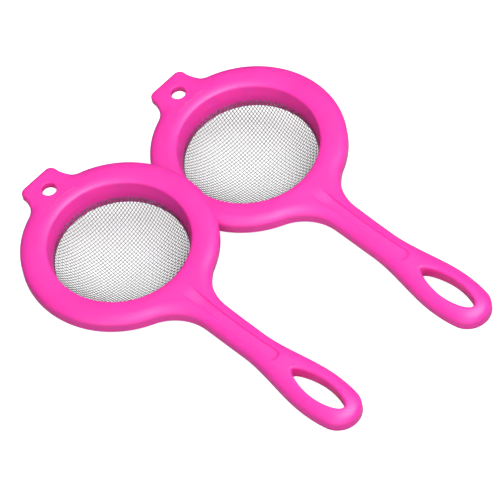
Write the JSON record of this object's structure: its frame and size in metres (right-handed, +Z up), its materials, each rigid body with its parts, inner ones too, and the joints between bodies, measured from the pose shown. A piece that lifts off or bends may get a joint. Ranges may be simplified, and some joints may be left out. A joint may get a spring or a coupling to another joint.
{
  "type": "hand strainer pair",
  "caption": "Pair of round plastic hand strainers with woven wire bowls, hook tabs and long handles, one resting on the rim of the other.",
  "frame": {"origin": "on the ground, under the middle of the pair's box", "axes": "+X along the handles towards their ends, +Y from the upper strainer towards the lower one, +Z up"},
  "size_m": [0.2484, 0.207, 0.0415],
  "materials": {
    "pink_plastic": "satin-gloss moulded polypropylene",
    "steel_wire": "bright woven stainless wire"
  },
  "bodies": {
    "lower": {"lower_frame": "pink_plastic", "lower_sieve": "steel_wire"},
    "upper": {"upper_frame": "pink_plastic", "upper_sieve": "steel_wire"}
  },
  "joints": [
    {"name": "upper_lift", "type": "slide", "parent": "lower", "child": "upper", "axis": [0, 0, 1], "range_m": [0, 0.08]}
  ]
}
